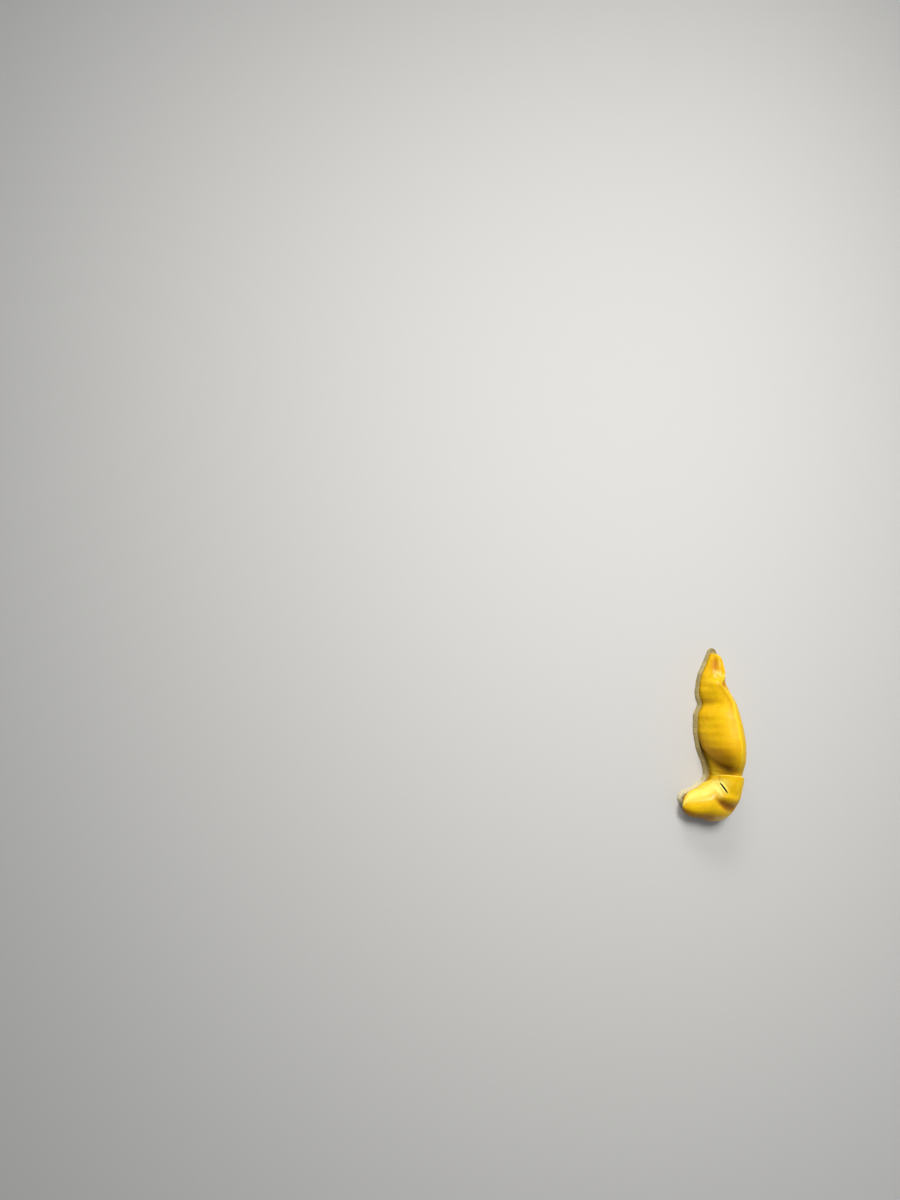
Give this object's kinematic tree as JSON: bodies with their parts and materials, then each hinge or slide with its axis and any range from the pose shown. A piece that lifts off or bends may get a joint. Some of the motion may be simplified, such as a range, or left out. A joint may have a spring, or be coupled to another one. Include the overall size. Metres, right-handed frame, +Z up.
{
  "type": "banana slug",
  "caption": "Life-size still model of a resting banana slug: yellow keeled body, smooth mantle with a breathing pore on its right, ridged foot fringe, drawn-in head, front turned to its right.",
  "frame": {"origin": "middle of the whole slug's bounding box in plan, on the floor that its sole rests on", "axes": "+X from the tail toward the mantle along the straight rear of the body, +Y to the slug's left there, +Z up; the front of the body turns from +X to -Y, to the slug's right"},
  "size_m": [0.1064, 0.046, 0.0262],
  "materials": {
    "body_skin": "wet satin skin, saturated banana yellow, paler at the keel and browner in its folds",
    "mantle_skin": "wet, smooth, finely grained skin, lemon to banana yellow with an orange-brown hollow",
    "head_skin": "wet ochre skin",
    "fringe_skin": "wet cream skin with fine darker lines across it",
    "sole_skin": "smooth pale cream skin",
    "eye": "glossy black"
  },
  "bodies": {
    "root": {"tail": "body_skin", "trunk_rear": "body_skin", "trunk_middle": "body_skin", "trunk_front": "body_skin", "neck": "body_skin", "mantle": "mantle_skin", "head": "head_skin", "tentacle_upper_right": "head_skin", "tentacle_upper_left": "head_skin", "tentacle_lower_right": "head_skin", "tentacle_lower_left": "head_skin", "eye_right": "eye", "eye_left": "eye", "tail_tip": "fringe_skin", "foot_front_edge": "fringe_skin", "foot_fringe_right_tail": "fringe_skin", "foot_fringe_right_rear": "fringe_skin", "foot_fringe_right_middle": "fringe_skin", "foot_fringe_right_bend": "fringe_skin", "foot_fringe_right_front": "fringe_skin", "foot_fringe_left_tail": "fringe_skin", "foot_fringe_left_rear": "fringe_skin", "foot_fringe_left_middle": "fringe_skin", "foot_fringe_left_bend": "fringe_skin", "foot_fringe_left_front": "fringe_skin", "sole_tail": "sole_skin", "sole_rear": "sole_skin", "sole_middle": "sole_skin", "sole_bend": "sole_skin", "sole_front": "sole_skin"}
  },
  "joints": []
}
